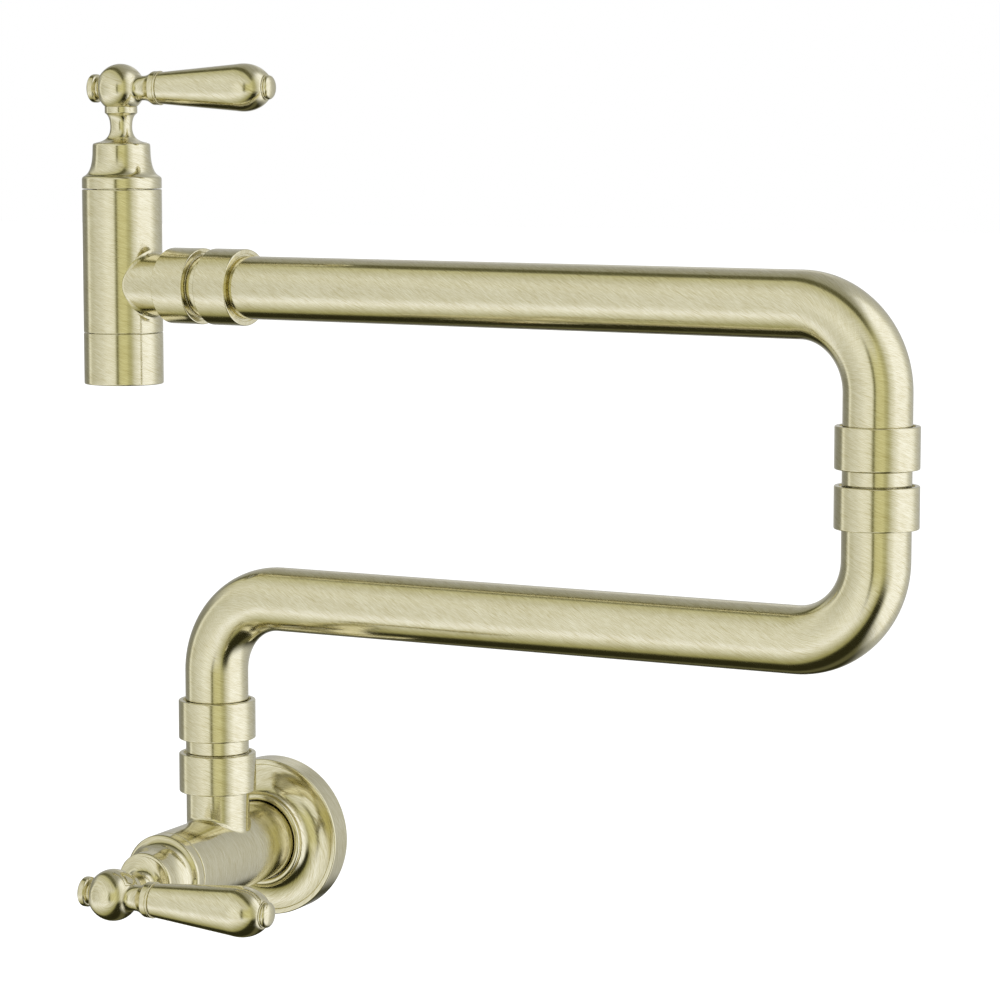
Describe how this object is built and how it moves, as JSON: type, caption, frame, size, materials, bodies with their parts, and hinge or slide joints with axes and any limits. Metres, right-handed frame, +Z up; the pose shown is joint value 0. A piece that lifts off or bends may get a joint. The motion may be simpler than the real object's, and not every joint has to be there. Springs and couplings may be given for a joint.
{
  "type": "wall mounted pot filler",
  "caption": "Two-arm swivel pot filler that folds flat to the wall, with a lever valve at the wall and a lever valve and aerated outlet at the spout end.",
  "frame": {"origin": "middle of the wall flange's back, on the wall valve's axis", "axes": "+X right along the wall as seen from the room, +Y into the wall, +Z up"},
  "size_m": [0.3769, 0.1604, 0.3525],
  "materials": {
    "brushed_brass": "brushed pale antique brass plating, satin",
    "plain_brass": "machined, unplated",
    "spring_steel": "satin",
    "black_rubber": "matt",
    "white_ceramic": "lapped",
    "white_plastic": "moulded"
  },
  "bodies": {
    "wall_base": {"valve_body": "brushed_brass", "wall_flange": "brushed_brass", "flange_o_ring": "black_rubber", "inlet_nipple": "plain_brass", "inlet_washer": "black_rubber", "base_bonnet": "brushed_brass", "base_cartridge_housing": "plain_brass", "base_seat_seal": "black_rubber", "base_fixed_disc": "white_ceramic", "riser_fixed_collar": "brushed_brass", "riser_spigot": "brushed_brass", "riser_o_ring": "black_rubber", "riser_retaining_ring": "spring_steel"},
    "base_handle": {"base_handle_hub": "brushed_brass", "base_spindle": "plain_brass", "base_spindle_o_ring": "black_rubber", "base_moving_disc": "white_ceramic", "base_set_screw": "spring_steel", "base_tail_button": "brushed_brass", "base_lever_rod": "plain_brass", "base_lever_grip": "brushed_brass", "base_lever_finial": "brushed_brass"},
    "lower_arm": {"lower_arm_tube": "brushed_brass", "riser_swivel_collar": "brushed_brass", "elbow_fixed_collar": "brushed_brass", "elbow_spigot": "brushed_brass", "elbow_o_ring": "black_rubber", "elbow_retaining_ring": "spring_steel"},
    "upper_arm": {"upper_arm_tube": "brushed_brass", "elbow_swivel_collar": "brushed_brass", "head_union_fixed_collar": "brushed_brass", "head_union_spigot": "brushed_brass", "head_union_o_ring": "black_rubber", "head_union_retaining_ring": "spring_steel"},
    "spout_head": {"head_body": "brushed_brass", "head_union_swivel_collar": "brushed_brass", "head_bonnet": "brushed_brass", "head_cartridge_housing": "plain_brass", "head_seat_seal": "black_rubber", "head_fixed_disc": "white_ceramic", "outlet_ring": "brushed_brass", "aerator_washer": "black_rubber", "aerator_insert": "white_plastic"},
    "head_handle": {"head_handle_hub": "brushed_brass", "head_spindle": "plain_brass", "head_spindle_o_ring": "black_rubber", "head_moving_disc": "white_ceramic", "head_set_screw": "spring_steel", "head_tail_button": "brushed_brass", "head_lever_rod": "plain_brass", "head_lever_grip": "brushed_brass", "head_lever_finial": "brushed_brass"}
  },
  "joints": [
    {"name": "base_swivel", "type": "hinge", "parent": "wall_base", "child": "lower_arm", "pos_m": [0, -0.05, 0.0455], "axis": [0, 0, -1], "range_deg": [-3.8, 176.2]},
    {"name": "elbow_swivel", "type": "hinge", "parent": "lower_arm", "child": "upper_arm", "pos_m": [0.28537, -0.06895, 0.1681], "axis": [0, 0, 1], "range_deg": [-175.9, 184.1]},
    {"name": "head_swivel", "type": "hinge", "parent": "upper_arm", "child": "spout_head", "pos_m": [-0.01475, -0.02731, 0.2294], "axis": [-0.9905, 0.1374, 0], "range_deg": [-90, 90]},
    {"name": "base_valve_turn", "type": "hinge", "parent": "wall_base", "child": "base_handle", "pos_m": [0, -0.108, 0], "axis": [0, -1, 0], "range_deg": [0, 90]},
    {"name": "head_valve_turn", "type": "hinge", "parent": "spout_head", "child": "head_handle", "pos_m": [-0.05982, -0.02106, 0.2874], "axis": [0, 0, -1], "range_deg": [0, 90]}
  ]
}
